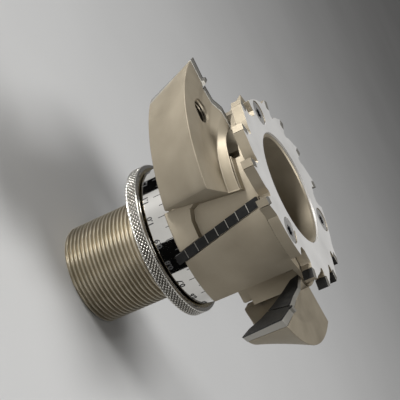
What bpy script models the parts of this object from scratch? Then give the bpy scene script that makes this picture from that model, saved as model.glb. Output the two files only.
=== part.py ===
"""Adjustable three-wing shell cutter on a threaded sleeve.

Metres, +Z up. The origin is the centre of the sleeve's rear end face, and +Z runs along the tool's
axis to the toothed disc. Angles are degrees from +X, clockwise as seen from +Z, which is the way the
tool turns, so a larger angle is further ahead. Whatever repeats does so three times round the axis.
"""
import math

import bmesh
import bpy
import numpy as np
from mathutils import Vector

MM = 0.001
WINGS = 3
SECTOR = 360.0 / WINGS
GAP = 0.3 * MM                 # clearance between neighbouring pieces

# Sleeve: M45 x 2 outside, 35 mm spindle bore inside
SLEEVE_LENGTH = 80 * MM
BORE_R = 17.5 * MM
THREAD_PITCH = 2 * MM
THREAD_R = 22.4 * MM
THREAD_ROOT_R = 21.2 * MM
THREAD_END_Z = 45 * MM
SHANK_START_Z = 48 * MM
SHANK_R = 23.3 * MM

# Drive key in the sleeve, sliding in the cutter body's keyway
KEY_WIDTH = 6 * MM
KEY_Z = (66 * MM, 78 * MM)
KEY_R = (21.3 * MM, 26.0 * MM)
KEY_ANGLE = 90.0
KEY_SCREW_OFFSET = 3.4 * MM     # from the key's middle
KEY_SCREW_SINK = 0.6 * MM       # head below the key's face
KEY_SCREW_HEAD = (1.9 * MM, 2.0 * MM)    # radius, length
KEY_SCREW_SHANK = (1.1 * MM, 3.9 * MM)
KEY_SCREW_HOLE_DEPTH = 7.6 * MM

# Adjusting ring: knurled nut with a hub, and a graduated ring round the hub
KNURL_Z = (39.3 * MM, 45.1 * MM)
KNURL_R = 34.5 * MM
NUT_BORE_R = 22.7 * MM
NUT_THREAD_END_Z = 45.5 * MM
HUB_R = 26.0 * MM
HUB_BORE_R = 23.7 * MM
HUB_END_Z = 63 * MM
SCALE_Z = (45.4 * MM, 56.7 * MM)
SCALE_R = 31.6 * MM
SET_SCREW_ANGLES = (-60.0, -120.0)
SET_SCREW_Z = 50 * MM
SET_SCREW_R = 2.0 * MM
SET_SCREW_LENGTH = 4.4 * MM

# Cutter body
BODY_Z = (57 * MM, 95.2 * MM)
BODY_R = 39.8 * MM
BODY_BORE_R = 23.6 * MM
BODY_COUNTERBORE_R = HUB_R + GAP
SPIGOT_R = 24.9 * MM
SPIGOT_END_Z = 99.2 * MM
SNAP_Z = 60 * MM               # middle of the snap ring that holds the hub
SNAP_GROOVE = 0.8 * MM         # half width of its grooves, and their depth in the hub
KEYWAY_END_Z = 90 * MM

# Scoop ahead of each wing, milled in from the rear
SCOOP_ANGLE = 22.3
SCOOP_CENTRE_R = 44.3 * MM
SCOOP_R = 15.0 * MM
FLANGE_Z = 93 * MM             # the body is full round in front of this

# Rear relief under each wing's tail, chip pocket in the scoop's floor and low neck behind the disc
RELIEF_ANGLES = (-13.0, 16.0)
RELIEF_R = 30.0 * MM
RELIEF_END_Z = 64.5 * MM
POCKET_ANGLE = 12.0
POCKET_WIDTH = 10 * MM
POCKET_R = (26.8 * MM, 32.3 * MM)
POCKET_START_Z = 84 * MM
NECK_ANGLES = (-19.5, 22.0)
NECK_R = 34.8 * MM
NECK_START_Z = 90.9 * MM

# Rows of tiles on a helix
TILES = 8
TILE_Z = (54.5 * MM, 95.3 * MM)
TILE_R = (38.2 * MM, 40.5 * MM)
TILE_ANGLE = 76.0              # trailing edge at the rear of the row
TILE_WIDTH = 5.7               # degrees
TILE_HELIX = 13.3 / 41.0       # degrees per millimetre of height
TILE_STEP = 0.3                # degrees that each tile sits back from the one behind it
TILE_RELIEF = 0.5 * MM

# Gullet ahead of each row of tiles
GULLET_Z = (67 * MM, 96.2 * MM)
GULLET_R = 35.0 * MM
GULLET_CORNER = 4 * MM

# Wings
WING_SECTIONS = 15
WING_BACK_ANGLE = 101.0        # of the first wing's trailing face at the height below
WING_BACK_Z = 92 * MM
WING_BACK_LEAN = 0.2           # degrees further ahead per millimetre towards the sleeve
WING_LEAD_ANGLE = 170.0        # of the cutting edge's peak on the first wing
WING_PEAK = (66.8 * MM, 87.5 * MM)
RAKE_PER_R = 0.7               # degrees the rake face falls back per millimetre inwards
RAKE_PER_Z = 0.22              # degrees it falls back per millimetre towards the sleeve
PLATE_THICKNESS = 4.5          # degrees of turn
PLATE_GAP = 0.3                # degrees of turn
TAPPED_HOLE = (53.5 * MM, 143.0, 4.9 * MM, 14 * MM)   # radius from the axis, angle, hole radius, depth

# Toothed disc
DISC_Z = (95.5 * MM, 100 * MM)
DISC_BORE_R = 25.2 * MM
DISC_RIM_R = 40.5 * MM
TOOTH_TIP_R = 44.8 * MM
TOOTH_ANGLES = (-28.0, -6.6, 15.3, 37.5)
TOOTH_ROOT_R = 36.6 * MM
TIP_WIDTH = 4.0                # degrees
TIP_BASE_R = 40.4 * MM
TIP_RELIEF = 0.6 * MM
WIDE_GULLET = (42.0, 51.5)     # degrees
WIDE_GULLET_R = 34.5 * MM

# Disc screws: M6 countersunk
SCREW_CIRCLE_R = 34.2 * MM
SCREW_ANGLE = 64.6
SCREW_HEAD_R = 5.4 * MM
SCREW_SHANK_R = 3.0 * MM
SCREW_LENGTH = 16 * MM
SCREW_SINK = 0.3 * MM
SOCKET = (1.9 * MM, 2.2 * MM)   # radius, depth

SEGMENTS = 60


def clear_scene():
    for item in list(bpy.data.objects):
        bpy.data.objects.remove(item, do_unlink=True)


def material(name, colour, roughness, metallic=1.0):
    found = bpy.data.materials.get(name)
    if found:
        return found
    made = bpy.data.materials.new(name)
    made.use_nodes = True
    shader = made.node_tree.nodes["Principled BSDF"]
    shader.inputs["Base Color"].default_value = (*colour, 1.0)
    shader.inputs["Roughness"].default_value = roughness
    shader.inputs["Metallic"].default_value = metallic
    return made


def nickel():
    return material("champagne_nickel", (0.52, 0.45, 0.34), 0.35)


def chrome():
    return material("polished_chrome", (0.75, 0.74, 0.72), 0.12)


def ground_steel():
    return material("ground_steel", (0.68, 0.67, 0.65), 0.35)


def diamond():
    return material("dark_diamond", (0.03, 0.03, 0.03), 0.4, 0.2)


def black_oxide():
    return material("black_oxide", (0.05, 0.05, 0.055), 0.45, 0.8)


def spring_steel():
    return material("spring_steel", (0.25, 0.25, 0.27), 0.35)


def polar(radius, angle, z):
    """Point at an angle, in degrees clockwise from +X as seen from +Z."""
    turn = math.radians(angle)
    return Vector((radius * math.cos(turn), -radius * math.sin(turn), z))


def link(name, mesh, finish, smooth_angle=30.0):
    """Object with outward faces, smooth where faces meet at a shallow angle."""
    made = bpy.data.objects.new(name, mesh)
    bpy.context.scene.collection.objects.link(made)
    mesh.shade_smooth()
    mesh.set_sharp_from_angle(angle=math.radians(smooth_angle))
    if finish:
        mesh.materials.append(finish)
    return made


def mesh_from(builder, name):
    """Close a bmesh into a mesh with its faces pointing out."""
    bmesh.ops.recalc_face_normals(builder, faces=builder.faces)
    mesh = bpy.data.meshes.new(name)
    builder.to_mesh(mesh)
    builder.free()
    return mesh


def turned(name, profile, finish, segments=SEGMENTS):
    """Solid of revolution about Z from a closed profile of (radius, z)."""
    builder = bmesh.new()
    corners = [builder.verts.new((radius, 0, z)) for radius, z in profile]
    edges = [builder.edges.new(pair) for pair in zip(corners, corners[1:] + corners[:1])]
    bmesh.ops.spin(
        builder, geom=corners + edges, cent=(0, 0, 0), axis=(0, 0, 1),
        angle=math.tau, steps=segments, use_merge=True,
    )
    bmesh.ops.remove_doubles(builder, verts=builder.verts, dist=1e-7)
    return link(name, mesh_from(builder, name), finish)


def lofted(name, sections, finish, smooth_angle=30.0):
    """Solid through equal rings of points, closed by a face at each end."""
    builder = bmesh.new()
    rings = [[builder.verts.new(point) for point in section] for section in sections]
    count = len(rings[0])
    for ring, following in zip(rings, rings[1:]):
        for i in range(count):
            j = (i + 1) % count
            builder.faces.new((ring[i], ring[j], following[j], following[i]))
    caps = [builder.faces.new(rings[0]), builder.faces.new(rings[-1])]
    bmesh.ops.triangulate(builder, faces=caps)
    return link(name, mesh_from(builder, name), finish, smooth_angle)


def rod(name, start, direction, radius, length, finish=None, sides=24):
    """Plain cylinder from start along direction."""
    builder = bmesh.new()
    bmesh.ops.create_cone(
        builder, cap_ends=True, segments=sides, radius1=radius, radius2=radius, depth=length,
    )
    bmesh.ops.translate(builder, verts=builder.verts, vec=(0, 0, length / 2))
    made = link(name, mesh_from(builder, name), finish)
    made.rotation_euler = Vector(direction).to_track_quat("Z", "Y").to_euler()
    made.location = start
    return made


def as_cutter(item):
    item.hide_render = True
    item.display_type = "WIRE"
    return item


def cut(target, tool):
    """Boolean difference; the tool stays as a hidden guide."""
    as_cutter(tool)
    modifier = target.modifiers.new(tool.name, "BOOLEAN")
    modifier.operation = "DIFFERENCE"
    modifier.solver = "EXACT"
    modifier.object = tool


# ---------------------------------------------------------------- sleeve

def sleeve_profile():
    """Thread crests as grooves of the right pitch, a relief, the ground shank and the bore."""
    chamfer = 1.2 * MM
    profile = [(BORE_R + chamfer / 2, 0.0), (THREAD_ROOT_R, 0.0)]
    turns = int(THREAD_END_Z / THREAD_PITCH)
    for turn in range(turns):
        low = turn * THREAD_PITCH
        profile += [(THREAD_R, low + THREAD_PITCH / 2), (THREAD_ROOT_R, low + THREAD_PITCH)]
    profile += [
        (THREAD_ROOT_R, SHANK_START_Z), (SHANK_R, SHANK_START_Z),
        (SHANK_R, SLEEVE_LENGTH - chamfer), (SHANK_R - chamfer, SLEEVE_LENGTH),
        (BORE_R + chamfer, SLEEVE_LENGTH), (BORE_R, SLEEVE_LENGTH - chamfer),
        (BORE_R, chamfer / 2),
    ]
    return profile


def block(name, angle, width, radii, heights, finish=None):
    """Straight-sided block standing on a radius: width across, radii out, heights up."""
    out = polar(1, angle, 0)
    across = Vector((-out.y, out.x, 0)) * (width / 2)
    rings = [
        [out * r + across * side + Vector((0, 0, z)) for r, side in
         ((radii[0], -1), (radii[1], -1), (radii[1], 1), (radii[0], 1))]
        for z in heights
    ]
    return lofted(name, rings, finish)


def build_sleeve():
    sleeve = turned("threaded_sleeve", sleeve_profile(), nickel(), segments=40)
    slot = block(
        "sleeve_key_slot", KEY_ANGLE, KEY_WIDTH + 2 * GAP, (KEY_R[0] - GAP, KEY_R[1]),
        (KEY_Z[0] - GAP, KEY_Z[1] + GAP),
    )
    cut(sleeve, slot)
    key = block("drive_key", KEY_ANGLE, KEY_WIDTH, KEY_R, KEY_Z, ground_steel())
    middle = (KEY_Z[0] + KEY_Z[1]) / 2
    inward = -polar(1, KEY_ANGLE, 0)
    head_r, head_length = KEY_SCREW_HEAD
    shank_r, shank_length = KEY_SCREW_SHANK
    for number, side in ((1, -1), (2, 1)):
        z = middle + side * KEY_SCREW_OFFSET
        start = polar(KEY_R[1] - KEY_SCREW_SINK, KEY_ANGLE, z)
        mouth = polar(KEY_R[1] + GAP, KEY_ANGLE, z)
        head = rod(f"head_{number}", start, inward, head_r, head_length, sides=20)
        shank = rod(f"shank_{number}", start, inward, shank_r, head_length + shank_length, sides=16)
        cap = rod(f"key_head_hole_{number}", mouth, inward, head_r + GAP,
                  KEY_SCREW_SINK + head_length + 2 * GAP, sides=20)
        hole = rod(f"key_shank_hole_{number}", mouth, inward, shank_r + GAP, KEY_SCREW_HOLE_DEPTH, sides=16)
        cut(key, cap)
        cut(key, hole)
        cut(sleeve, hole)
        screw_from(f"key_screw_{number}", head, shank)


def screw_from(name, head, shank):
    """Screw: head and shank joined into one solid."""
    head.name = name
    head.data.name = name
    head.data.materials.append(black_oxide())
    shank.name = f"{name}_shank"
    as_cutter(shank)
    modifier = head.modifiers.new("shank", "BOOLEAN")
    modifier.operation = "UNION"
    modifier.solver = "EXACT"
    modifier.object = shank
    return head


# ---------------------------------------------------------------- adjusting ring

def build_adjusting_ring():
    low, high = KNURL_Z
    edge = 0.9 * MM
    groove = SNAP_GROOVE
    turned("knurled_ring", [
        (NUT_BORE_R, low), (KNURL_R - edge, low), (KNURL_R, low + edge),
        (KNURL_R, high - edge), (KNURL_R - edge, high), (HUB_R, high),
        (HUB_R, SNAP_Z - groove), (HUB_R - groove, SNAP_Z - groove),
        (HUB_R - groove, SNAP_Z + groove), (HUB_R, SNAP_Z + groove),
        (HUB_R, HUB_END_Z), (HUB_BORE_R, HUB_END_Z),
        (HUB_BORE_R, NUT_THREAD_END_Z), (NUT_BORE_R, NUT_THREAD_END_Z),
    ], chrome())
    low, high = SCALE_Z
    chamfer = 0.4 * MM
    scale = turned("graduated_ring", [
        (HUB_R + GAP, low), (SCALE_R - chamfer, low), (SCALE_R, low + chamfer),
        (SCALE_R, high - chamfer), (SCALE_R - chamfer, high), (HUB_R + GAP, high),
    ], chrome())
    for number, angle in enumerate(SET_SCREW_ANGLES, 1):
        out = polar(1, angle, 0)
        cut(scale, rod(f"set_screw_hole_{number}", polar(HUB_R, angle, SET_SCREW_Z), out,
                       SET_SCREW_R + GAP, SCALE_R - HUB_R + 2 * MM, sides=20))
        rod(f"set_screw_{number}", polar(HUB_R + GAP, angle, SET_SCREW_Z), out,
            SET_SCREW_R, SET_SCREW_LENGTH, black_oxide(), sides=20)


def build_snap_ring():
    """Split ring of square wire in the grooves of the hub and the body."""
    inner = HUB_R - 0.5 * MM
    outer = HUB_R + 0.9 * MM
    half = 0.45 * MM
    opening = 8.0
    steps = 48
    rings = []
    for i in range(steps + 1):
        angle = KEY_ANGLE + opening + (360 - 2 * opening) * i / steps
        rings.append([polar(r, angle, SNAP_Z + z) for r, z in
                      ((inner, -half), (outer, -half), (outer, half), (inner, half))])
    lofted("snap_ring", rings, spring_steel())


# ---------------------------------------------------------------- cutter body

def tile_angle(z):
    """Trailing edge of the row of tiles at a height."""
    return TILE_ANGLE + TILE_HELIX * (z - TILE_Z[0]) / MM


def wing_back_angle(z):
    """Trailing face of the first wing at a height."""
    return WING_BACK_ANGLE + WING_BACK_LEAN * (WING_BACK_Z - z) / MM


def sector_prism(name, spans, radii, finish=None, turn=0.0, steps=4):
    """Solid between two radii through spans of (z, first angle, last angle)."""
    rings = []
    for z, first, last in spans:
        ring = [polar(radii[0], turn + first + (last - first) * i / steps, z) for i in range(steps + 1)]
        ring += [polar(radii[1], turn + last + (first - last) * i / steps, z) for i in range(steps + 1)]
        rings.append(ring)
    return lofted(name, rings, finish)


def cut_tile_pocket(body, turn, number):
    """Helical seat under the tiles, open at the rear face."""
    margin = math.degrees(GAP / BODY_R)
    spans = []
    for z in np.linspace(TILE_Z[0] - MM, BODY_Z[1] + MM, 9):
        start = tile_angle(z) - TILE_STEP - margin
        spans.append((z, start, start + TILE_WIDTH + TILE_STEP + 2 * margin))
    cut(body, sector_prism(f"tile_pocket_{number}", spans,
                           (TILE_R[0] - GAP, BODY_R + 2 * MM), turn=turn))


def cut_gullet(body, turn, number):
    """Chip space between the tiles and the back of the wing, rounded at its rear end."""
    spans = []
    low, high = GULLET_Z
    corner = GULLET_CORNER
    for z in (low, low + 0.3 * corner, low + corner, (low + high) / 2, high):
        round_off = 1 - math.sqrt(1 - (1 - min(1.0, (z - low) / corner)) ** 2)
        start = tile_angle(z) + TILE_WIDTH - 0.4
        end = wing_back_angle(z) + 0.5
        shrink = round_off * (end - start) * 0.45
        spans.append((z, start, end - shrink))
    cut(body, sector_prism(f"gullet_{number}", spans, (GULLET_R, BODY_R + 2 * MM), turn=turn))


def cut_scoop(body, turn, number):
    """Round-bottomed groove ahead of the wing, run in from the rear face."""
    centre = polar(SCOOP_CENTRE_R, SCOOP_ANGLE + turn, BODY_Z[0] - MM)
    cut(body, rod(f"scoop_{number}", centre, (0, 0, 1), SCOOP_R, FLANGE_Z - BODY_Z[0] + MM, sides=48))


def cut_under_wing(body, turn, number):
    """Rear relief, chip pocket and neck of one wing."""
    outside = BODY_R + 2 * MM
    low, high = BODY_Z
    cut(body, sector_prism(f"rear_relief_{number}", [(z, *RELIEF_ANGLES) for z in (low - MM, RELIEF_END_Z)],
                           (RELIEF_R, outside), turn=turn))
    cut(body, block(f"chip_pocket_{number}", POCKET_ANGLE + turn, POCKET_WIDTH, POCKET_R,
                    (POCKET_START_Z, high + MM)))
    cut(body, sector_prism(f"neck_{number}", [(z, *NECK_ANGLES) for z in (NECK_START_Z, high + MM)],
                           (NECK_R, outside), turn=turn, steps=12))


def build_body():
    low, high = BODY_Z
    chamfer = 0.6 * MM
    groove = SNAP_GROOVE
    shoulder = HUB_END_Z + GAP
    body = turned("cutter_body", [
        (BODY_COUNTERBORE_R, low), (BODY_R - chamfer, low), (BODY_R, low + chamfer),
        (BODY_R, high), (SPIGOT_R, high), (SPIGOT_R, SPIGOT_END_Z),
        (BODY_BORE_R + chamfer, SPIGOT_END_Z), (BODY_BORE_R, SPIGOT_END_Z - chamfer),
        (BODY_BORE_R, shoulder), (BODY_COUNTERBORE_R, shoulder),
        (BODY_COUNTERBORE_R, SNAP_Z + groove), (BODY_COUNTERBORE_R + MM, SNAP_Z + groove),
        (BODY_COUNTERBORE_R + MM, SNAP_Z - groove), (BODY_COUNTERBORE_R, SNAP_Z - groove),
    ], nickel(), segments=78)
    cut(body, block("body_keyway", KEY_ANGLE, KEY_WIDTH + 2 * GAP, (BODY_BORE_R - MM, KEY_R[1] + 2 * GAP),
                    (shoulder - 2 * MM, KEYWAY_END_Z)))
    for number in range(1, WINGS + 1):
        turn = (number - 1) * SECTOR
        cut_tile_pocket(body, turn, number)
        cut_gullet(body, turn, number)
        cut_scoop(body, turn, number)
        cut_under_wing(body, turn, number)
        hole_depth = SCREW_LENGTH - (DISC_Z[1] - DISC_Z[0]) + 2 * MM
        start = polar(SCREW_CIRCLE_R, SCREW_ANGLE + turn, high + MM)
        cut(body, rod(f"screw_hole_{number}", start, (0, 0, -1), SCREW_SHANK_R + GAP, hole_depth, sides=20))


def build_tiles():
    """Three rows of tiles, each tile a sheared block whose outer face falls away behind its edge."""
    low, high = TILE_Z
    pitch = (high - low) / TILES
    for row in range(WINGS):
        for number in range(TILES):
            rings = []
            base = low + number * pitch
            for z in (base, base + pitch - GAP):
                start = row * SECTOR + tile_angle(z) - TILE_STEP * (z - base) / pitch
                end = start + TILE_WIDTH
                rings.append([
                    polar(TILE_R[0], start, z), polar(TILE_R[0], end, z),
                    polar(TILE_R[1], end, z), polar(TILE_R[1] - TILE_RELIEF / 2, (start + end) / 2, z),
                    polar(TILE_R[1] - TILE_RELIEF, start, z),
                ])
            lofted(f"tile_{row + 1}_{number + 1}", rings, diamond())


# ---------------------------------------------------------------- wings

def rake_angle(radius, z):
    """Angle of the first wing's rake face at a point."""
    return (WING_LEAD_ANGLE - RAKE_PER_R * (WING_PEAK[0] - radius) / MM
            - RAKE_PER_Z * (WING_PEAK[1] - z) / MM)


def lead_outline():
    """Cutting outline at the rake face, from the tail round the peak to the inner end and back."""
    return [(r * MM, z * MM) for r, z in (
        (60.0, 66.0), (WING_PEAK[0] / MM, WING_PEAK[1] / MM), (58.2, 88.9), (55.3, 88.6), (49.5, 89.6),
        (45.5, 91.8), (38.5, 92.4), (39.5, 88.5), (44.0, 84.5), (48.7, 80.0), (53.6, 74.5), (56.2, 69.0),
    )]


def back_outline():
    """Outline of the trailing face, point for point with lead_outline."""
    return [(r * MM, z * MM) for r, z in (
        (41.2, 58.3), (64.5, 85.7), (54.0, 85.7), (51.0, 85.7), (45.0, 85.7), (41.0, 85.7), (41.6, 90.7),
        (40.1, 90.7), (40.1, 83.0), (40.1, 75.0), (40.1, 66.0), (40.1, 58.3),
    )]


# How each outline point travels from the back (0) to the lead (1): the power of the way along,
# or 0 for a point on the inside, which leaves the body as lift says
TRAVEL = (0.55, 2.0, 2.0, 3.0, 4.0, 4.0, 4.0, 0.0, 0.0, 0.0, 0.0, 0.0)


def lift(t):
    """How far the inside of the wing has risen off the body, 0 at the root to 1 at the lead."""
    start = 0.27
    way = min(1.0, max(0.0, (t - start) / (1 - start)))
    return way * way * (3 - 2 * way)


def wing_section(t, turn, lead_gap=0.0):
    """Ring of points across the wing, t = 0 at its back and 1 at its rake face."""
    ring = []
    for lead, back, exponent in zip(lead_outline(), back_outline(), TRAVEL):
        share = t ** exponent if exponent else lift(t)
        radius = back[0] + (lead[0] - back[0]) * share
        z = back[1] + (lead[1] - back[1]) * share
        first = wing_back_angle(z)
        last = rake_angle(radius, z) - lead_gap
        ring.append(polar(radius, turn + first + (last - first) * t, z))
    return ring


def plate_ring(points, turn, back):
    """Outline of a plate at a turn behind the rake face."""
    return [polar(r, turn + rake_angle(r, z) - back, z) for r, z in points]


def build_wings():
    outline = lead_outline()
    tab = [(57.8 * MM, 90.0 * MM), (56.5 * MM, 90.2 * MM), (56.2 * MM, 88.7 * MM)]
    split = [(51.1 * MM, 77.3 * MM), (50.7 * MM, 77.7 * MM)]
    outer = outline[:3] + tab + [split[0]] + outline[10:]
    inner = outline[3:10] + [split[1]]
    for number in range(1, WINGS + 1):
        turn = (number - 1) * SECTOR
        thickness = PLATE_THICKNESS + PLATE_GAP
        sections = [wing_section(i / (WING_SECTIONS - 1), turn, thickness) for i in range(WING_SECTIONS)]
        wing = lofted(f"wing_{number}", sections, nickel(), 35.0)
        if number == 1:
            radius, angle, hole_r, depth = TAPPED_HOLE
            mouth = polar(radius, angle + turn, WING_PEAK[1] + MM)
            cut(wing, rod("tapped_hole", mouth, (0, 0, -1), hole_r, depth, sides=32))
        for name, points in (("outer_plate", outer), ("inner_plate", inner)):
            rings = [plate_ring(points, turn, PLATE_THICKNESS), plate_ring(points, turn, 0.0)]
            lofted(f"{name}_{number}", rings, diamond())


# ---------------------------------------------------------------- toothed disc

def tooth_points(tip):
    """Outline of one tooth from its rising back, over the seat of its tip, to the gullet ahead."""
    seat = tip - TIP_WIDTH - math.degrees(GAP / TOOTH_TIP_R)
    floor = TIP_BASE_R - GAP
    return [
        (tip - 12.0, DISC_RIM_R - 0.2 * MM), (tip - 8.5, DISC_RIM_R + 1.2 * MM),
        (seat - 1.5, TOOTH_TIP_R - 1.5 * MM), (seat, TOOTH_TIP_R - TIP_RELIEF), (seat, floor),
        (tip - 0.2, floor), (tip - 0.6, TOOTH_ROOT_R + 1.2 * MM), (tip + 0.4, TOOTH_ROOT_R + 0.2 * MM),
        (tip + 1.8, TOOTH_ROOT_R), (tip + 3.6, TOOTH_ROOT_R + 0.5 * MM), (tip + 5.5, DISC_RIM_R - 2 * MM),
    ]


def disc_outline():
    """Angle and radius round the disc: four teeth, a wide gullet and a stretch of plain rim, thrice."""
    first, last = WIDE_GULLET
    outline = []
    for sector in range(WINGS):
        points = []
        for tip in TOOTH_ANGLES:
            points += tooth_points(tip)
        points = points[:-3]
        points += [(first - 1.2, WIDE_GULLET_R + 1.2 * MM), (first + 1.2, WIDE_GULLET_R),
                   (last - 3.0, WIDE_GULLET_R), (last - 0.8, WIDE_GULLET_R + 1.5 * MM), (last, DISC_RIM_R)]
        points += [(angle, DISC_RIM_R) for angle in np.linspace(last + 3, SECTOR + TOOTH_ANGLES[0] - 14, 5)]
        outline += [(angle + sector * SECTOR, radius) for angle, radius in points]
    return outline


def build_disc():
    low, high = DISC_Z
    outline = disc_outline()
    rings = [[polar(radius, angle, z) for angle, radius in outline] for z in (low, high)]
    disc = lofted("toothed_disc", rings, ground_steel())
    cut(disc, rod("disc_bore", (0, 0, low - MM), (0, 0, 1), DISC_BORE_R, high - low + 2 * MM, sides=SEGMENTS))
    slope = SCREW_HEAD_R - SCREW_SHANK_R
    top = high - SCREW_SINK
    socket_r, socket_depth = SOCKET
    for number in range(1, WINGS + 1):
        angle = SCREW_ANGLE + (number - 1) * SECTOR
        centre = polar(SCREW_CIRCLE_R, angle, 0)
        hole = turned(f"countersink_{number}", [
            (0, low - MM), (SCREW_SHANK_R + GAP, low - MM), (SCREW_SHANK_R + GAP, top - slope - GAP),
            (SCREW_HEAD_R + GAP, top - GAP), (SCREW_HEAD_R + GAP, high + MM), (0, high + MM),
        ], None, segments=32)
        hole.location = (centre.x, centre.y, 0)
        cut(disc, hole)
        screw = turned(f"disc_screw_{number}", [
            (0, high - SCREW_LENGTH), (SCREW_SHANK_R - 0.4 * MM, high - SCREW_LENGTH),
            (SCREW_SHANK_R, high - SCREW_LENGTH + 0.5 * MM), (SCREW_SHANK_R, top - slope - GAP),
            (SCREW_HEAD_R, top - GAP), (SCREW_HEAD_R, top), (socket_r, top), (socket_r, top - socket_depth),
            (0, top - socket_depth),
        ], ground_steel(), segments=24)
        screw.location = (centre.x, centre.y, 0)


def build_disc_tips():
    """Diamond tip on the rake side of each tooth."""
    low, high = DISC_Z
    for sector in range(WINGS):
        for number, tooth in enumerate(TOOTH_ANGLES, 1):
            tip = tooth + sector * SECTOR
            rings = []
            for z in (low, high):
                back = tip - TIP_WIDTH
                rings.append([polar(TIP_BASE_R, back, z), polar(TIP_BASE_R, tip, z),
                              polar(TOOTH_TIP_R, tip, z), polar(TOOTH_TIP_R - TIP_RELIEF, back, z)])
            lofted(f"disc_tip_{sector + 1}_{number}", rings, diamond())


clear_scene()
build_sleeve()
build_adjusting_ring()
build_snap_ring()
build_body()
build_tiles()
build_wings()
build_disc()
build_disc_tips()
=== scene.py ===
"""Looks for the adjustable three-wing shell cutter: pieces, materials, floor, lights and camera.

Metres, +Z up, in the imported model's frame. Angles are degrees from +X, clockwise as seen from +Z.
"""

import math

import bmesh
import bpy
from mathutils import Matrix, Vector


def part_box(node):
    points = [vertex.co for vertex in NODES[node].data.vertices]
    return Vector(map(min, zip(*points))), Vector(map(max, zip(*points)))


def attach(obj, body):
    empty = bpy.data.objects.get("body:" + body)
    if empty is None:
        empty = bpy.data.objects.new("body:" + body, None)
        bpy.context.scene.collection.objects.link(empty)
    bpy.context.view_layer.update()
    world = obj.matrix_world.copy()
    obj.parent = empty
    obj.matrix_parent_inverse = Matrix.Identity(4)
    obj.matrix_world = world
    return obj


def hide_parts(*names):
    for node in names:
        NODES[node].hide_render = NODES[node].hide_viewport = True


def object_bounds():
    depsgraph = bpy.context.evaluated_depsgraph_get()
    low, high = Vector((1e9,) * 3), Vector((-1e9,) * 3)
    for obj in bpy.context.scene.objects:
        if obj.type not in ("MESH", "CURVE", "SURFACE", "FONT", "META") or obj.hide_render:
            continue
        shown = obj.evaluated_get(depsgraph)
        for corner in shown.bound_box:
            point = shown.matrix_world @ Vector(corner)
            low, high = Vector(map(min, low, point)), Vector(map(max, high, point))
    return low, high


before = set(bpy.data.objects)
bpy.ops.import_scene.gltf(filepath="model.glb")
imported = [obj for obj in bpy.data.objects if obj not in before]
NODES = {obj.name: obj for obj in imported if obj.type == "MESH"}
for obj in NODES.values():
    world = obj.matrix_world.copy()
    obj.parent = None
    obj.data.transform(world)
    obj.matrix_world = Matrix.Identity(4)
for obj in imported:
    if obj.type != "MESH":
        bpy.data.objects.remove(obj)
cad_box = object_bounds()

MM = 0.001
WINGS = 3
SECTOR = 120.0
GAP = 0.3 * MM


def polar(radius, angle, z):
    """Point at an angle, clockwise from +X as seen from +Z."""
    turn = math.radians(angle)
    return Vector((radius * math.cos(turn), -radius * math.sin(turn), z))


# ---------------------------------------------------------------- materials

BUMP_DEPTH = 0.02 * MM
DRIFT_DETAIL = 4.0
GRAIN_DETAIL = 2.0


def shader_tree(name):
    made = bpy.data.materials.new(name)
    made.use_nodes = True
    tree = made.node_tree
    return made, tree, tree.nodes["Principled BSDF"]


def coordinates(tree, stretch=(1, 1, 1)):
    """Object coordinates in millimetres, stretched along the axes."""
    place = tree.nodes.new("ShaderNodeTexCoord")
    mapping = tree.nodes.new("ShaderNodeMapping")
    mapping.inputs["Scale"].default_value = [s / MM for s in stretch]
    tree.links.new(place.outputs["Object"], mapping.inputs["Vector"])
    return mapping.outputs["Vector"]


def noise(tree, vector, scale, detail=3.0, roughness=0.55):
    made = tree.nodes.new("ShaderNodeTexNoise")
    made.inputs["Scale"].default_value = scale
    made.inputs["Detail"].default_value = detail
    made.inputs["Roughness"].default_value = roughness
    tree.links.new(vector, made.inputs["Vector"])
    return made.outputs["Fac"]


def spread(tree, value, low, high, clip=(0.3, 0.7)):
    """Value mapped from the clip range to low..high."""
    made = tree.nodes.new("ShaderNodeMapRange")
    made.inputs["From Min"].default_value, made.inputs["From Max"].default_value = clip
    made.inputs["To Min"].default_value, made.inputs["To Max"].default_value = low, high
    tree.links.new(value, made.inputs["Value"])
    return made.outputs["Result"]


def tint(tree, factor, first, second):
    """Colour between two, by a factor."""
    made = tree.nodes.new("ShaderNodeMix")
    made.data_type = "RGBA"
    colours = [socket for socket in made.inputs if socket.type == "RGBA"]
    colours[0].default_value = (*first, 1)
    colours[1].default_value = (*second, 1)
    tree.links.new(factor, made.inputs["Factor"])
    return next(socket for socket in made.outputs if socket.type == "RGBA")


def bumped(tree, height, strength, distance, after=None):
    made = tree.nodes.new("ShaderNodeBump")
    made.inputs["Strength"].default_value = strength
    made.inputs["Distance"].default_value = distance
    tree.links.new(height, made.inputs["Height"])
    if after:
        tree.links.new(after, made.inputs["Normal"])
    return made.outputs["Normal"]


def metal(name, dark, light, roughness, grain=(7.0, 0.10), lines=None, metallic=1.0, patch=0.06,
          shine=0.5):
    """Metal with drifting colour, a fine blasted grain and, if asked, tool lines.

    roughness is (low, high); grain is (scale per mm, bump strength); lines is (stretch, scale, strength).
    """
    made, tree, shader = shader_tree(name)
    vector = coordinates(tree)
    drift = noise(tree, vector, patch, DRIFT_DETAIL)
    fine = noise(tree, vector, grain[0], GRAIN_DETAIL)
    tree.links.new(tint(tree, spread(tree, drift, 0, 1), dark, light), shader.inputs["Base Color"])
    shader.inputs["Metallic"].default_value = metallic
    shader.inputs["Specular IOR Level"].default_value = shine
    tree.links.new(spread(tree, drift, *roughness), shader.inputs["Roughness"])
    normal = bumped(tree, fine, grain[1], BUMP_DEPTH)
    if lines:
        stretch, scale, strength = lines
        marks = noise(tree, coordinates(tree, stretch), scale, GRAIN_DETAIL)
        normal = bumped(tree, marks, strength, BUMP_DEPTH, normal)
    tree.links.new(normal, shader.inputs["Normal"])
    return made


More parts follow.
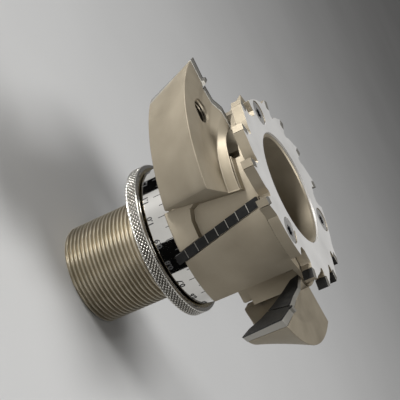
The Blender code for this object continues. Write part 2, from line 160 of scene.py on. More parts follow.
NICKEL = metal("champagne_nickel_satin", (0.318, 0.275, 0.205), (0.395, 0.346, 0.265), (0.52, 0.62),
               grain=(2.2, 0.45), metallic=0.70)
# Painted highlight: lighter colour on rounded edges; their lower roughness is real
NICKEL_EDGE_HIGHLIGHT = metal("champagne_nickel_edge_highlight", (0.44, 0.395, 0.315), (0.54, 0.49, 0.40), (0.36, 0.46),
                    grain=(3.0, 0.15), metallic=0.8)
NICKEL_TURNED = metal("champagne_nickel_turned", (0.36, 0.318, 0.240), (0.45, 0.40, 0.31), (0.34, 0.44),
                      grain=(4.0, 0.15), lines=((0.02, 0.02, 1.0), 5.0, 0.25), metallic=0.9)
CHROME = metal("polished_chrome_bright", (0.70, 0.685, 0.65), (0.78, 0.765, 0.73), (0.04, 0.09),
               grain=(3.0, 0.02), lines=((0.02, 0.02, 1.0), 6.0, 0.04))
# Painted reflection: a gold tint for the champagne body mirrored in the nut's front face
CHROME_REFLECTING_NICKEL = metal("polished_chrome_painted_reflection", (0.50, 0.44, 0.30), (0.60, 0.53, 0.38), (0.12, 0.2),
                    grain=(3.0, 0.04), lines=((0.02, 0.02, 1.0), 6.0, 0.08))
KNURL = metal("knurled_chrome", (0.60, 0.58, 0.53), (0.72, 0.70, 0.65), (0.18, 0.28), grain=(5.0, 0.08))
# Painted shade: near-black colour for the knurl's roots, where shade falls in the grooves
KNURL_ROOT_SHADE = metal("knurl_roots_painted_shade", (0.05, 0.046, 0.04), (0.10, 0.09, 0.075), (0.45, 0.6), grain=(5.0, 0.2),
                   metallic=0.6)
GROUND = metal("ground_steel_face", (0.74, 0.73, 0.71), (0.82, 0.81, 0.79), (0.42, 0.50),
               lines=((1.0, 0.03, 0.03), 6.0, 0.18), metallic=0.35)
STEEL = metal("screw_steel", (0.52, 0.51, 0.49), (0.62, 0.61, 0.59), (0.36, 0.46), grain=(4.0, 0.1),
              metallic=0.75)
CARBIDE = metal("grey_carbide", (0.36, 0.345, 0.31), (0.44, 0.425, 0.385), (0.40, 0.50), grain=(5.0, 0.15),
                metallic=0.85)
# Painted shade: dark colour inside the tapped hole
HOLE_SHADE = metal("tapped_thread_painted_shade", (0.13, 0.112, 0.085), (0.19, 0.165, 0.125), (0.38, 0.48), grain=(4.0, 0.15),
                 metallic=0.8)
DIAMOND = metal("dark_diamond_layer", (0.010, 0.010, 0.010), (0.020, 0.0195, 0.018), (0.42, 0.55),
                grain=(6.0, 0.25), metallic=0.0, patch=0.5, shine=0.22)
# Black oxide is the set and key screws' own colour; in the disc screws' sockets it is painted shade
OXIDE_AND_SOCKET_SHADE = metal("black_oxide_and_socket_shade", (0.030, 0.030, 0.032), (0.06, 0.06, 0.063), (0.38, 0.50),
              grain=(5.0, 0.15), metallic=0.7, patch=0.4)
SPRING = metal("spring_steel_wire", (0.20, 0.20, 0.22), (0.30, 0.30, 0.32), (0.28, 0.38),
               lines=((0.02, 0.02, 1.0), 8.0, 0.2))
BRAZE = metal("bright_braze", (0.48, 0.46, 0.41), (0.60, 0.58, 0.52), (0.32, 0.44), grain=(4.0, 0.3),
              metallic=0.8)
INK = metal("engraving_fill", (0.05, 0.05, 0.05), (0.08, 0.08, 0.08), (0.5, 0.65),
            grain=(6.0, 0.3), metallic=0.0, patch=1.0, shine=0.2)


# ---------------------------------------------------------------- meshes

CORNER_SHARE = 0.3             # of a side's length that a rounded corner may take up
MERGE_DISTANCE = 0.001 * MM
FLAT_ANGLE = 0.4               # degrees between faces that count as one


def finished(name, builder, materials, body, replaced=(), sharp=32.0):
    """Object from a bmesh, smooth but for its sharp edges, riding on a body."""
    bmesh.ops.recalc_face_normals(builder, faces=builder.faces)
    mesh = bpy.data.meshes.new(name)
    builder.to_mesh(mesh)
    builder.free()
    for item in materials:
        mesh.materials.append(item)
    mesh.shade_smooth()
    mesh.set_sharp_from_angle(angle=math.radians(sharp))
    made = bpy.data.objects.new(name, mesh)
    bpy.context.scene.collection.objects.link(made)
    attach(made, body)
    if replaced:
        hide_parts(*replaced)
    return made


def wrap(builder, rows, closed=True, material=0):
    """Skin over rows of points that each go once round; closed joins the last row to the first."""
    made = [[builder.verts.new(point) for point in row] for row in rows]
    pairs = list(zip(made, made[1:]))
    if closed:
        pairs.append((made[-1], made[0]))
    for first, second in pairs:
        for i in range(len(first)):
            j = (i + 1) % len(first)
            face = builder.faces.new((first[i], first[j], second[j], second[i]))
            face.material_index = material
    if not closed:
        for row in (made[0], made[-1]):
            face = builder.faces.new(row)
            face.material_index = material


def lathe_rows(profile, columns, centre=(0, 0)):
    shift = Vector((centre[0], centre[1], 0))
    return [[polar(r, 360 * i / columns, z) + shift for i in range(columns)] for r, z in profile]


def softened(points, radius, steps=3):
    """Closed outline with every corner rounded, the same number of points for each."""
    out = []
    count = len(points)
    for i in range(count):
        corner = Vector(points[i])
        before = Vector(points[i - 1]) - corner
        after = Vector(points[(i + 1) % count]) - corner
        reach = min(radius, CORNER_SHARE * before.length, CORNER_SHARE * after.length)
        start = corner + before.normalized() * reach
        end = corner + after.normalized() * reach
        for k in range(steps + 1):
            t = k / steps
            out.append(tuple(start * (1 - t) ** 2 + corner * (2 * t * (1 - t)) + end * t * t))
    return out


def carved(target, builder):
    """Cuts a bmesh solid out of an object and keeps the result as its mesh."""
    bmesh.ops.recalc_face_normals(builder, faces=builder.faces)
    mesh = bpy.data.meshes.new("cutter")
    builder.to_mesh(mesh)
    builder.free()
    tool = bpy.data.objects.new("cutter", mesh)
    bpy.context.scene.collection.objects.link(tool)
    modifier = target.modifiers.new("cut", "BOOLEAN")
    modifier.operation = "DIFFERENCE"
    modifier.solver = "EXACT"
    modifier.object = tool
    bake(target)
    bpy.data.objects.remove(tool, do_unlink=True)


def bake(target):
    """Applies an object's modifiers to its mesh."""
    bpy.context.view_layer.update()
    graph = bpy.context.evaluated_depsgraph_get()
    mesh = bpy.data.meshes.new_from_object(target.evaluated_get(graph))
    target.modifiers.clear()
    old = target.data
    target.data = mesh
    bpy.data.meshes.remove(old)


def settle(target, sharp=32.0):
    """Smooth shading that leaves the large faces flat right up to their rounded corners."""
    target.data.shade_smooth()
    target.data.set_sharp_from_angle(angle=math.radians(sharp))
    modifier = target.modifiers.new("weigh", "WEIGHTED_NORMAL")
    modifier.mode = "FACE_AREA"
    modifier.weight = 100
    modifier.keep_sharp = True
    bake(target)


def refined(node, materials, width, body, segments=2, limit=28.0, sharp=32.0):
    """Copy of a CAD node with its corners rounded; rounded corners take the second material."""
    builder = bmesh.new()
    builder.from_mesh(NODES[node].data)
    for face in builder.faces:
        face.material_index = 0
    bmesh.ops.remove_doubles(builder, verts=builder.verts, dist=MERGE_DISTANCE)
    bmesh.ops.dissolve_limit(
        builder, angle_limit=math.radians(FLAT_ANGLE), verts=builder.verts, edges=builder.edges)
    made = finished(f"{node}_fine", builder, materials, body, (node,), sharp)
    modifier = made.modifiers.new("round", "BEVEL")
    modifier.width = width
    modifier.segments = segments
    modifier.limit_method = "ANGLE"
    modifier.angle_limit = math.radians(limit)
    # On the body and disc this last material is the painted edge highlight
    modifier.material = len(materials) - 1
    modifier.use_clamp_overlap = True
    bake(made)
    settle(made, sharp)
    return made


# ---------------------------------------------------------------- sleeve

PITCH = 2 * MM
THREAD_END_Z = 45 * MM
THREAD_CREST_R = 22.4 * MM
THREAD_ROOT_R = 21.2 * MM
CREST_SHARE = 0.30             # of half a pitch, on either side of the crest's middle
FLANK_SHARE = 0.58
FLANK_CURVE = 1.15
LEAD_IN = 1.1 * MM
RUN_OUT = 0.8 * MM
FADED_HEIGHT = 0.25            # share of the thread's height left at its ends
FADED_DROP = 0.25 * MM
ROWS_PER_PITCH = 12
BORE_R = 17.5 * MM
SHANK_R = 23.3 * MM
SHANK_START_Z = 48 * MM
SLEEVE_CORNER = 1.0 * MM
SLEEVE_COLUMNS = 144


def thread_height(phase):
    """Height of a thread at a phase, 0 at the root and 1 over the flat crest."""
    x = abs((phase % 1.0) * 2 - 1)
    return 1 - min(1.0, max(0.0, (x - CREST_SHARE) / FLANK_SHARE)) ** FLANK_CURVE


def build_sleeve():
    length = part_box("threaded_sleeve")[1].z
    rows = []
    count = int(THREAD_END_Z / PITCH * ROWS_PER_PITCH)
    for k in range(count + 1):
        z = THREAD_END_Z * k / count
        fade = min(1.0, z / LEAD_IN) * min(1.0, (THREAD_END_Z - z) / RUN_OUT)
        row = []
        for i in range(SLEEVE_COLUMNS):
            turn = i / SLEEVE_COLUMNS
            tall = thread_height(z / PITCH - turn)
            tall = min(tall, FADED_HEIGHT + (1 - FADED_HEIGHT) * fade)
            radius = THREAD_ROOT_R + (THREAD_CREST_R - THREAD_ROOT_R) * tall
            row.append(polar(radius - (1 - fade) * FADED_DROP, 360 * turn, z))
        rows.append(row)
    corner = SLEEVE_CORNER
    rows += lathe_rows([
        (THREAD_ROOT_R, THREAD_END_Z + 0.4 * MM), (THREAD_ROOT_R, SHANK_START_Z - 0.4 * MM),
        (THREAD_ROOT_R + 0.3 * MM, SHANK_START_Z), (SHANK_R - 0.4 * MM, SHANK_START_Z),
        (SHANK_R, SHANK_START_Z + 0.4 * MM), (SHANK_R, length - corner),
        (SHANK_R - 0.3 * MM, length - 0.3 * MM), (SHANK_R - corner, length), (BORE_R + corner, length),
        (BORE_R + 0.3 * MM, length - 0.3 * MM), (BORE_R, length - corner), (BORE_R, corner),
        (BORE_R + 0.2 * MM, 0.2 * MM), (BORE_R + 0.7 * MM, 0.0), (THREAD_ROOT_R - 0.9 * MM, 0.0),
    ], SLEEVE_COLUMNS)
    builder = bmesh.new()
    wrap(builder, rows)
    made = finished("sleeve_fine", builder, [NICKEL_TURNED], "sleeve",
                    ("threaded_sleeve",), 40.0)
    key_low, key_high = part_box("drive_key")
    slot = bmesh.new()
    bmesh.ops.create_cube(slot, size=1.0)
    size = key_high - key_low + Vector((2 * GAP, 2 * GAP, 2 * GAP))
    bmesh.ops.transform(slot, verts=slot.verts, matrix=Matrix.LocRotScale(
        (key_low + key_high) / 2, None, size))
    carved(made, slot)


# ---------------------------------------------------------------- adjusting ring

KNURLS = 112
KNURL_COLUMNS = 12 * KNURLS
KNURL_PITCH = 1.55 * MM        # along the axis
KNURL_DEPTH = 0.55 * MM
KNURL_ROWS = 30
KNURL_FLAT = 1.25              # diamonds are cut level above one part in this many of their height
KNURL_RUN_OUT = 6              # the knurl fades over the first and last of this many parts of its width
ROOT_SHADE_SHARE = (0.52, 1.05)      # of the depth, where the roots take the painted shade
NUT_FRONT_Z = 45.1 * MM
NUT_BORE_R = 22.7 * MM
NUT_THREAD_END_Z = 45.5 * MM
NECK_R = 33.1 * MM             # of the seat under the knurled band
HUB_R = 26.0 * MM
HUB_BORE_R = 23.7 * MM
HUB_END_Z = 63 * MM
SNAP_Z = 60 * MM
SNAP_GROOVE = 0.8 * MM
RING_COLUMNS = 240
NUT_CORNER = 0.22 * MM


def build_knurled_ring():
    low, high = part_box("knurled_ring")
    outer = high.x
    rear, front = low.z, NUT_FRONT_Z
    hub, neck = HUB_R, NECK_R
    band = (rear + 0.40 * MM, front - 0.60 * MM)
    rows = []
    for k in range(KNURL_ROWS + 1):
        t = k / KNURL_ROWS
        z = band[0] + (band[1] - band[0]) * t
        edge = min(1.0, KNURL_RUN_OUT * min(t, 1 - t))
        row = []
        for i in range(KNURL_COLUMNS):
            turn = i / KNURL_COLUMNS
            across = turn * KNURLS * math.pi
            along = (z - rear) / KNURL_PITCH * math.pi
            ridge = min(abs(math.sin(across + along)), abs(math.sin(across - along)))
            sunk = KNURL_DEPTH * (1 - min(1.0, KNURL_FLAT * ridge)) * edge
            row.append(polar(outer - sunk, 360 * turn, z))
        rows.append(row)
    rows += lathe_rows([(outer - 0.05 * MM, band[1] + 0.1 * MM), (neck, band[1] + 0.1 * MM),
                        (neck, band[0] - 0.1 * MM), (outer - 0.05 * MM, band[0] - 0.1 * MM)], KNURL_COLUMNS)
    builder = bmesh.new()
    wrap(builder, rows)
    # Faces deep in the grooves take the painted shade
    for face in builder.faces:
        middle = face.calc_center_median()
        depth = outer - math.hypot(middle.x, middle.y)
        if band[0] < middle.z < band[1] and ROOT_SHADE_SHARE[0] < depth / KNURL_DEPTH < ROOT_SHADE_SHARE[1]:
            face.material_index = 1
    finished("knurl_band", builder, [KNURL, KNURL_ROOT_SHADE], "adjusting_ring", (), 60.0)

    groove = SNAP_GROOVE
    profile = softened([
        (NUT_BORE_R, rear), (outer - 0.4 * MM, rear), (outer - 0.1 * MM, rear + 0.28 * MM),
        (neck, rear + 0.28 * MM),
        (neck, front - 0.48 * MM), (outer - 0.02 * MM, front - 0.48 * MM), (outer - 0.5 * MM, front),
        (32.9 * MM, front), (32.7 * MM, front - 0.2 * MM), (hub, front - 0.2 * MM),
        (hub, SNAP_Z - groove), (hub - groove, SNAP_Z - groove),
        (hub - groove, SNAP_Z + groove), (hub, SNAP_Z + groove),
        (hub, HUB_END_Z), (HUB_BORE_R, HUB_END_Z),
        (HUB_BORE_R, NUT_THREAD_END_Z), (NUT_BORE_R, NUT_THREAD_END_Z),
    ], NUT_CORNER)
    builder = bmesh.new()
    wrap(builder, lathe_rows(profile, RING_COLUMNS))
    # The nut's front face inside the knurl takes the painted reflection
    for face in builder.faces:
        middle = face.calc_center_median()
        if front - 0.3 * MM < middle.z < front + 0.1 * MM and math.hypot(middle.x, middle.y) < 32.9 * MM:
            face.material_index = 1
    nut = finished("nut_fine", builder, [CHROME, CHROME_REFLECTING_NICKEL], "adjusting_ring",
                   ("knurled_ring",), 40.0)
    settle(nut, 40)


SCALE_R = 31.6 * MM
SCALE_CHAMFER = 0.4 * MM
SCALE_CORNER = 0.25 * MM
SET_SCREW_HOLE_R = 2.3 * MM
SCALE_STEPS = 20
STEP_ANGLE = 18.0
KNOWN_STEP = (7, 56.6)         # a number's step and its angle
NUMBER_HEIGHT = 2.3 * MM
NUMBER_Z = 48.3 * MM
ENGRAVING = 0.05 * MM          # how far the ink reaches into and out of the ring
TICK_WIDTH = 0.28 * MM
TICK_LENGTHS = (5.2 * MM, 3.4 * MM)
TICK_SETBACK = 0.5 * MM        # from the ring's front edge
CAPITAL_SHARE = 0.7            # height of a numeral against the font size
STROKE_WEIGHT = 0.05


def bent_text(builder, text, height, angle, z, radius, depth):
    """Text wrapped round the ring, reading towards larger angles with its tops towards -Z."""
    curve = bpy.data.curves.new(f"text_{text}", "FONT")
    curve.body = text
    curve.size = height / CAPITAL_SHARE
    curve.align_x = "CENTER"
    curve.extrude = depth
    curve.offset = STROKE_WEIGHT * height
    curve.resolution_u = 3
    holder = bpy.data.objects.new(f"text_{text}", curve)
    bpy.context.scene.collection.objects.link(holder)
    bpy.context.view_layer.update()
    mesh = bpy.data.meshes.new_from_object(holder.evaluated_get(bpy.context.evaluated_depsgraph_get()))
    bpy.data.objects.remove(holder, do_unlink=True)
    bpy.data.curves.remove(curve)
    for vertex in mesh.vertices:
        x, y, out = vertex.co
        vertex.co = polar(radius + out, angle + math.degrees(x / radius), z - y)
    builder.from_mesh(mesh)
    bpy.data.meshes.remove(mesh)


def build_graduated_ring():
    low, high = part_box("graduated_ring")
    outer, chamfer = SCALE_R, SCALE_CHAMFER
    rear, front = low.z, high.z
    bore = HUB_R + GAP
    profile = softened([
        (bore, rear), (outer - chamfer, rear), (outer, rear + chamfer),
        (outer, front - chamfer), (outer - chamfer, front), (bore, front),
    ], SCALE_CORNER)
    builder = bmesh.new()
    wrap(builder, lathe_rows(profile, RING_COLUMNS))
    made = finished("graduated_fine", builder, [CHROME], "adjusting_ring",
                    ("graduated_ring",), 40.0)
    for node in ("set_screw_1", "set_screw_2"):
        first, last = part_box(node)
        middle = (first + last) / 2
        out = Vector((middle.x, middle.y, 0)).normalized()
        hole = bmesh.new()
        bmesh.ops.create_cone(hole, cap_ends=True, segments=40, radius1=SET_SCREW_HOLE_R,
                              radius2=SET_SCREW_HOLE_R, depth=12 * MM)
        turn = out.to_track_quat("Z", "Y")
        bmesh.ops.transform(hole, verts=hole.verts, matrix=Matrix.LocRotScale(
            Vector((0, 0, middle.z)) + out * 30 * MM, turn, (1, 1, 1)))
        carved(made, hole)
    settle(made, 40)

    builder = bmesh.new()
    known, known_angle = KNOWN_STEP
    for step in range(SCALE_STEPS):
        angle = known_angle + (step - known) * STEP_ANGLE
        bent_text(builder, f"{step / 10:.1f}", NUMBER_HEIGHT, angle, NUMBER_Z, outer, ENGRAVING)
    made = finished("scale_numbers", builder, [INK], "adjusting_ring")
    builder = bmesh.new()
    half = math.degrees(TICK_WIDTH / 2 / outer)
    inside, outside = outer - ENGRAVING, outer + ENGRAVING
    start = front - TICK_SETBACK
    for step in range(2 * SCALE_STEPS):
        angle = known_angle + step * STEP_ANGLE / 2
        reach = TICK_LENGTHS[step % 2]
        rows = [[polar(r, angle + side * half, z) for r, side in
                 ((inside, -1), (outside, -1), (outside, 1), (inside, 1))]
                for z in (start, start - reach)]
        wrap(builder, rows, closed=False)
    finished("scale_ticks", builder, [INK], "adjusting_ring")


# ---------------------------------------------------------------- wings

# Outlines of the rake face and of the back, point for point, as (radius, z) in millimetres
LEAD = ((60.0, 66.0), (66.8, 87.5), (58.2, 88.9), (55.3, 88.6), (49.5, 89.6), (45.5, 91.8), (38.5, 92.4),
        (39.5, 88.5), (44.0, 84.5), (48.7, 80.0), (53.6, 74.5), (56.2, 69.0))
BACK = ((41.2, 58.3), (64.5, 85.7), (54.0, 85.7), (51.0, 85.7), (45.0, 85.7), (41.0, 85.7), (41.6, 90.7),
        (40.1, 90.7), (40.1, 83.0), (40.1, 75.0), (40.1, 66.0), (40.1, 58.3))
# How each point travels from back to front: the power of the way along, or 0 for the inside, as lift says
TRAVEL = (0.55, 2.0, 2.0, 3.0, 4.0, 4.0, 4.0, 0.0, 0.0, 0.0, 0.0, 0.0)
LIFT_START = 0.27
BACK_ANGLE = 101.0             # of the first wing's back at the height below
BACK_Z = 92 * MM
BACK_LEAN = 0.2                # degrees further ahead per millimetre towards the sleeve
LEAD_ANGLE = 170.0             # of the cutting edge's peak on the first wing
PEAK_R, PEAK_Z = LEAD[1][0] * MM, LEAD[1][1] * MM
RAKE_PER_R = 0.7               # degrees the rake face falls back per millimetre inwards
RAKE_PER_Z = 0.22              # degrees it falls back per millimetre towards the sleeve
WING_STEPS = 56
WING_CORNER = 0.55             # millimetres
WING_END = 0.006               # share of the wing's length that the rounding of its ends takes
WING_END_INSET = 0.3           # millimetres
PLATE_TURN = 4.5               # degrees of turn, as are the next two
PLATE_GAP = 0.3
LAYER_TURN = 0.74
PLATE_CORNER = 0.12 * MM
HOLE = (53.5 * MM, 143.0, 87.6 * MM, 13 * MM)   # radius from the axis, angle, top, depth
HOLE_R = 4.95 * MM
HOLE_PITCH = 1.25 * MM
HOLE_THREAD = (4.25 * MM, 0.6 * MM)      # crest radius and height of the thread
HOLE_MOUTH_R = 5.2 * MM
HOLE_COLUMNS = 48
HOLE_ROWS = 120


def wing_back_angle(z):
    return BACK_ANGLE + BACK_LEAN * (BACK_Z - z) / MM


def rake_angle(radius, z):
    return LEAD_ANGLE - RAKE_PER_R * (PEAK_R - radius) / MM - RAKE_PER_Z * (PEAK_Z - z) / MM


def lift(t):
    """How far the inside of the wing has risen off the body."""
    way = min(1.0, max(0.0, (t - LIFT_START) / (1 - LIFT_START)))
    return way * way * (3 - 2 * way)


def wing_section(t, turn, inset=0.0):
    """Ring across the wing at t, 0 at its back and 1 at its front, drawn in by inset."""
    outline = []
    for (lead_r, lead_z), (back_r, back_z), power in zip(LEAD, BACK, TRAVEL):
        share = t ** power if power else lift(t)
        outline.append((back_r + (lead_r - back_r) * share, back_z + (lead_z - back_z) * share))
    middle = Vector((sum(p[0] for p in outline), sum(p[1] for p in outline))) / len(outline)
    ring = []
    for r, z in softened(outline, WING_CORNER):
        away = Vector((r, z)) - middle
        r, z = middle + away * (1 - inset / max(away.length, 1.0))
        r, z = r * MM, z * MM
        first = wing_back_angle(z)
        last = rake_angle(r, z) - PLATE_TURN - PLATE_GAP
        ring.append(polar(r, turn + first + (last - first) * t, z))
    return ring


def threaded_hole(radius, angle, top, depth):
    """Solid of a tapped hole with a lead-in, as a tool to cut with."""
    crest, height = HOLE_THREAD
    above = 4 * MM
    lead_in = 1.2 * MM
    rows = []
    for k in range(HOLE_ROWS + 1):
        z = -depth + (depth + above) * k / HOLE_ROWS
        row = []
        for i in range(HOLE_COLUMNS):
            turn = i / HOLE_COLUMNS
            tall = abs(((z / HOLE_PITCH - turn) % 1.0) * 2 - 1)
            r = crest + height * tall
            if z > -lead_in:
                r = max(r, min(HOLE_MOUTH_R, HOLE_MOUTH_R + 0.7 * MM + z))
            row.append(polar(r, 360 * turn, z))
        rows.append(row)
    builder = bmesh.new()
    wrap(builder, rows, closed=False)
    place = polar(radius, angle, top)
    bmesh.ops.translate(builder, verts=builder.verts, vec=place)
    return builder


def paint_hole_shade(wing):
    """Painted shade: darker colour for the faces inside the tapped hole."""
    wing.data.materials.append(HOLE_SHADE)
    axis = polar(HOLE[0], HOLE[1], 0)
    for face in wing.data.polygons:
        inwards = (axis - face.center).xy
        if inwards.length < HOLE_R and face.normal.xy.dot(inwards) > 0:
            face.material_index = 1


def build_wings():
    length = 1 - 2 * WING_END
    for number in range(1, WINGS + 1):
        turn = (number - 1) * SECTOR
        rows = [wing_section(0.0, turn, WING_END_INSET)]
        rows += [wing_section(WING_END + length * k / WING_STEPS, turn) for k in range(WING_STEPS + 1)]
        rows.append(wing_section(1.0, turn, WING_END_INSET))
        builder = bmesh.new()
        wrap(builder, rows, closed=False)
        wing = finished(f"wing_{number}_fine", builder, [NICKEL], "cutter_head",
                        (f"wing_{number}",), 40.0)
        if number == 1:
            carved(wing, threaded_hole(*HOLE))
            paint_hole_shade(wing)
        settle(wing, 40)


def build_plates():
    """Each plate as a carbide base and a dark diamond layer on its rake side."""
    tab = ((57.8, 90.0), (56.5, 90.2), (56.2, 88.7))
    outer_split, inner_split = (51.1, 77.3), (50.7, 77.7)
    outer = LEAD[:3] + tab + (outer_split,) + LEAD[10:]
    inner = LEAD[3:10] + (inner_split,)
    layers = (("base", PLATE_TURN, LAYER_TURN, CARBIDE), ("layer", LAYER_TURN, 0.0, DIAMOND))
    for number in range(1, WINGS + 1):
        turn = (number - 1) * SECTOR
        for node, outline in ((f"outer_plate_{number}", outer), (f"inner_plate_{number}", inner)):
            for part, back, front, look in layers:
                soft = softened([(r * MM, z * MM) for r, z in outline], PLATE_CORNER, 2)
                rows = [[polar(r, turn + rake_angle(r, z) - behind, z) for r, z in soft]
                        for behind in (back, front)]
                builder = bmesh.new()
                wrap(builder, rows, closed=False)
                replaced = (node,) if part == "base" else ()
                finished(f"{node}_{part}", builder, [look], "cutter_head", replaced)


# ---------------------------------------------------------------- disc

SCREW_HEAD_R = 5.4 * MM
SCREW_SHANK_R = 3.0 * MM
SCREW_COLUMNS = 96
SOCKET_R = 2.05                # millimetres, as are the lobes and the rows below
SOCKET_LOBE = 0.33
SOCKET_ROWS = ((0.22, 0.0), (0.0, 0.22), (0.0, 2.0), (-0.9, 2.3))    # wider by, below the head's top
SOCKET_SHADE_REACH = (2.6 * MM, 2.5 * MM)      # radius and depth that the painted shade in the socket covers
DISC_CORNER = 0.08 * MM
TIP_CORNER = 0.05 * MM
RIM_START_R = 30 * MM          # edges further out than this are nickel
RIM_FACE_AREA = 0.6 * MM * MM


def build_screw(number):
    """Countersunk screw with a six-lobed socket."""
    low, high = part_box(f"disc_screw_{number}")
    centre = (low + high) / 2
    top = high.z
    head, shank, bottom = SCREW_HEAD_R, SCREW_SHANK_R, low.z
    rows = lathe_rows([
        (shank - 0.5 * MM, bottom), (shank, bottom + 0.5 * MM), (shank, top - 2.75 * MM),
        (head, top - 0.35 * MM), (head, top - 0.12 * MM), (head - 0.12 * MM, top),
    ], SCREW_COLUMNS, centre[:2])
    shift = Vector((centre.x, centre.y, 0))
    for wider, below in SOCKET_ROWS:
        row = []
        for i in range(SCREW_COLUMNS):
            turn = 360 * i / SCREW_COLUMNS
            lobe = SOCKET_R + wider + SOCKET_LOBE * math.cos(math.radians(6 * turn))
            row.append(polar(lobe * MM, turn, top - below * MM) + shift)
        rows.append(row)
    builder = bmesh.new()
    wrap(builder, rows, closed=False)
    # Faces inside the socket take the painted shade
    for face in builder.faces:
        middle = face.calc_center_median()
        if middle.z > top - SOCKET_SHADE_REACH[1] and (middle - shift).xy.length < SOCKET_SHADE_REACH[0]:
            face.material_index = 1
    finished(f"disc_screw_{number}_fine", builder, [STEEL, OXIDE_AND_SOCKET_SHADE], "cutter_head",
             (f"disc_screw_{number}",), 35.0)


def build_disc():
    """Disc with ground faces and a nickel rim, its tips with a dark rake face, and its screws."""
    disc = refined("toothed_disc", [GROUND, NICKEL_EDGE_HIGHLIGHT], DISC_CORNER, "cutter_head")
    disc.data.materials.append(NICKEL)
    for face in disc.data.polygons:
        upright = abs(face.normal.z) < 0.5
        if upright and face.area > RIM_FACE_AREA and face.center.xy.length > RIM_START_R:
            face.material_index = 2
    for sector in range(1, WINGS + 1):
        for tooth in range(1, 5):
            tip = refined(f"disc_tip_{sector}_{tooth}", [CARBIDE], TIP_CORNER, "cutter_head")
            tip.data.materials.append(DIAMOND)
            tip.data.materials.append(NICKEL)
            for face in tip.data.polygons:
                ahead = Vector((face.center.y, -face.center.x, 0)).normalized()
                if face.normal.dot(ahead) > 0.8:
                    face.material_index = 1
                elif abs(face.normal.z) < 0.5:
                    face.material_index = 2
        build_screw(sector)


# ---------------------------------------------------------------- body, tiles and small parts

TILE_START_Z = 54.5 * MM
TILE_START_ANGLE = 76.0
TILE_HELIX = 13.3 / 41.0       # degrees per millimetre of height
TILES = 8
TILE_CORNER = 0.04 * MM
SEAM_R = (38.3 * MM, 40.38 * MM)
SEAM_ANGLES = (0.15, 2.85, 5.5)          # ahead of the tile's trailing edge
SEAM_FALL = (0.42 * MM, 0.2 * MM)        # below the outer radius at the first two
SEAM_Z = (-0.28 * MM, -0.02 * MM)        # against the floor of the tile in front of it
BODY_CORNER = 0.22 * MM


def build_tiles():
    """The tiles, and the bright seam of braze between each and the next."""
    for row in range(1, WINGS + 1):
        seams = bmesh.new()
        for number in range(1, TILES + 1):
            tile = refined(f"tile_{row}_{number}", [DIAMOND], TILE_CORNER, "cutter_head")
            if number == 1:
                continue
            floor = min(corner.co.z for corner in tile.data.vertices)
            inner, outer = SEAM_R
            start = (row - 1) * SECTOR + tile_angle(floor)
            back, middle, front = (start + angle for angle in SEAM_ANGLES)
            rows = [[polar(inner, back, floor + rise), polar(outer - SEAM_FALL[0], back, floor + rise),
                     polar(outer - SEAM_FALL[1], middle, floor + rise), polar(outer, front, floor + rise),
                     polar(inner, front, floor + rise)]
                    for rise in SEAM_Z]
            wrap(seams, rows, closed=False)
        finished(f"tile_seams_{row}", seams, [BRAZE], "cutter_head")


def tile_angle(z):
    """Trailing edge of the first row of tiles at a height."""
    return TILE_START_ANGLE + TILE_HELIX * (z - TILE_START_Z) / MM


def build_body():
    refined("cutter_body", [NICKEL, NICKEL_EDGE_HIGHLIGHT], BODY_CORNER, "cutter_head")


def build_small_parts():
    refined("drive_key", [GROUND], 0.3 * MM, "sleeve")
    for number in (1, 2):
        refined(f"key_screw_{number}", [OXIDE_AND_SOCKET_SHADE], 0.1 * MM, "sleeve")
        refined(f"set_screw_{number}", [OXIDE_AND_SOCKET_SHADE], 0.2 * MM, "adjusting_ring")
    refined("snap_ring", [SPRING], 0.15 * MM, "cutter_head")


# ---------------------------------------------------------------- stage, lights and camera

# The camera's centre, and the picture's directions to the right and up
CENTRE = Vector((-0.0108, -0.4485, 0.2069))
RIGHT = Vector((0.4114, 0.2820, 0.8667))
UP = Vector((-0.9115, 0.1273, 0.3912))
BACK_TO_CAMERA = RIGHT.cross(UP)
TARGET = Vector((0, 0, 0.055))
LENS = 98.5
SENSOR = 36.0
FLOOR_SIZE = 9.0
FLOOR_DROP = 0.0002            # below the tool, so that the two don't share a plane
CARD_REACH = 0.085             # from the ring to a black card
CARD_HALF_HEIGHT = 0.022
CARD_Z = 51 * MM               # height on the ring whose reflection is the card's middle


def build_stage():
    made, tree, shader = shader_tree("pale_floor")
    vector = coordinates(tree)
    drift = noise(tree, vector, 0.004, 3.0)
    fine = noise(tree, vector, 0.8, 3.0)
    tree.links.new(tint(tree, spread(tree, drift, 0, 1), (0.56, 0.56, 0.555), (0.62, 0.62, 0.615)),
                   shader.inputs["Base Color"])
    tree.links.new(spread(tree, fine, 0.65, 0.8), shader.inputs["Roughness"])
    builder = bmesh.new()
    bmesh.ops.create_grid(builder, x_segments=4, y_segments=4, size=FLOOR_SIZE)
    mesh = bpy.data.meshes.new("floor")
    builder.to_mesh(mesh)
    builder.free()
    mesh.materials.append(made)
    floor = bpy.data.objects.new("floor", mesh)
    floor.location.z = cad_box[0].z - FLOOR_DROP
    bpy.context.scene.collection.objects.link(floor)


def softbox(name, across, up, towards, size, power):
    """Area light placed by the picture's own directions and aimed at the tool."""
    data = bpy.data.lights.new(name, "AREA")
    data.shape = "RECTANGLE"
    data.size, data.size_y = size
    data.energy = power
    made = bpy.data.objects.new(name, data)
    made.location = TARGET + RIGHT * across + UP * up + BACK_TO_CAMERA * towards
    made.rotation_mode = "QUATERNION"
    made.rotation_quaternion = (TARGET - made.location).to_track_quat("-Z", "Y")
    bpy.context.scene.collection.objects.link(made)


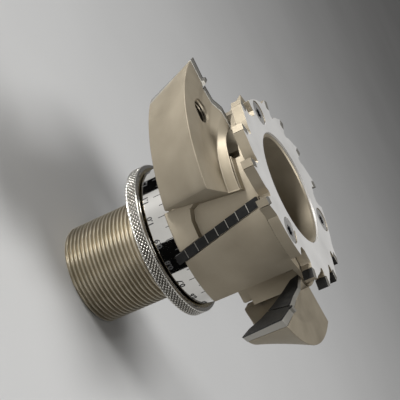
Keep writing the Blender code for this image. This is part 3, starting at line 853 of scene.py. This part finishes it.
def flag(name, angle, half):
    """Black card seen only in reflections, placed for the scale ring's surface round an angle."""
    made, tree, shader = shader_tree(name)
    shader.inputs["Base Color"].default_value = (0.004, 0.004, 0.004, 1)
    shader.inputs["Specular IOR Level"].default_value = 0.0
    out = polar(1, angle, 0)
    sight = -BACK_TO_CAMERA
    mirrored = sight - 2 * sight.dot(out) * out
    middle = polar(SCALE_R, angle, CARD_Z) + mirrored * CARD_REACH
    side = mirrored.cross(Vector((0, 0, 1))).normalized()
    rise = side.cross(mirrored)
    wide = CARD_REACH * math.tan(math.radians(2 * half)) + SCALE_R * math.sin(math.radians(half))
    builder = bmesh.new()
    corners = [middle + side * a * wide + rise * b * CARD_HALF_HEIGHT
               for a, b in ((-1, -1), (1, -1), (1, 1), (-1, 1))]
    builder.faces.new([builder.verts.new(corner) for corner in corners])
    mesh = bpy.data.meshes.new(name)
    builder.to_mesh(mesh)
    builder.free()
    mesh.materials.append(made)
    card = bpy.data.objects.new(name, mesh)
    bpy.context.scene.collection.objects.link(card)
    card.visible_camera = card.visible_diffuse = card.visible_shadow = False


def build_lights():
    world = bpy.data.worlds.new("studio")
    world.use_nodes = True
    sky = world.node_tree.nodes["Background"]
    sky.inputs["Color"].default_value = (0.84, 0.83, 0.82, 1)
    sky.inputs["Strength"].default_value = 0.15
    bpy.context.scene.world = world
    softbox("key", -0.38, 0.80, 0.36, (0.30, 0.24), 11.5)
    softbox("front", 0.74, 0.10, 0.28, (0.35, 0.30), 4.4)
    softbox("fill", -0.25, -0.05, 0.80, (0.4, 0.4), 2.2)
    flag("flag_middle", 79, 12)
    flag("flag_top", 143, 7)


def build_camera():
    data = bpy.data.cameras.new("camera")
    data.sensor_width = SENSOR
    data.lens = LENS
    made = bpy.data.objects.new("camera", data)
    turn = Matrix((RIGHT, UP, BACK_TO_CAMERA)).transposed().to_4x4()
    made.matrix_world = Matrix.Translation(CENTRE) @ turn
    bpy.context.scene.collection.objects.link(made)
    bpy.context.scene.camera = made
    bpy.context.scene.view_settings.view_transform = "Standard"


build_sleeve()
build_knurled_ring()
build_graduated_ring()
build_body()
build_tiles()
build_wings()
build_plates()
build_disc()
build_small_parts()
build_stage()
build_lights()
build_camera()
